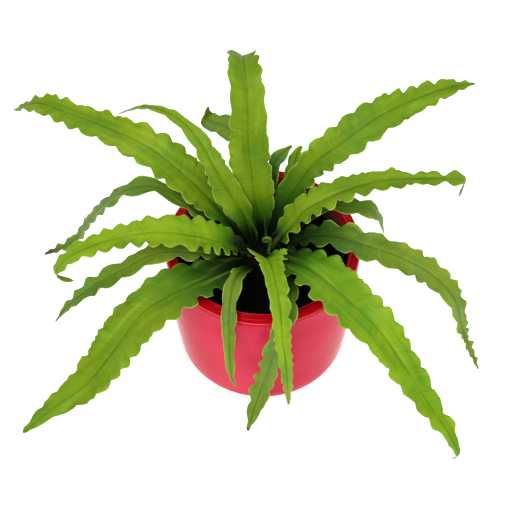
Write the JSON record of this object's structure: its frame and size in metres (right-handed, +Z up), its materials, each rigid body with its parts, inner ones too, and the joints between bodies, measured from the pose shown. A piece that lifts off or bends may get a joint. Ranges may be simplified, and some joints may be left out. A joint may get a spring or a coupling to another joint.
{
  "type": "potted fern",
  "caption": "Bird's-nest type fern with long crinkle-edged fronds arching out of a round red glazed pot filled with dark potting soil.",
  "frame": {"origin": "middle of the pot's flat foot, on the surface it stands on", "axes": "+Z up along the pot's axis, -Y towards the viewer of the picture, +X to the viewer's right"},
  "size_m": [0.3639, 0.2855, 0.2266],
  "materials": {
    "red_glaze": "gloss",
    "potting_soil": "matt, crumbly and damp",
    "rhizome": "matt, scaly",
    "frond_green": "satin",
    "frond_bright": "satin",
    "frond_dark": "satin",
    "young_green": "satin"
  },
  "bodies": {
    "root": {"pot": "red_glaze", "soil": "potting_soil", "crown": "rhizome", "frond_back_upright": "frond_green", "frond_right_upper": "frond_green", "frond_right": "frond_green", "frond_right_small": "frond_dark", "frond_right_lower": "frond_dark", "frond_right_front": "frond_bright", "frond_front": "frond_bright", "frond_front_low": "frond_dark", "frond_front_left": "frond_dark", "frond_left_front": "frond_green", "frond_left": "frond_bright", "frond_left_low": "frond_dark", "frond_left_rear": "frond_dark", "frond_left_upper": "frond_green", "frond_left_tall": "frond_green", "frond_back_left_young": "frond_dark", "frond_back_right_curled": "frond_dark", "frond_back_right_young": "frond_green", "frond_back_low": "frond_dark", "crozier": "young_green"}
  },
  "joints": []
}
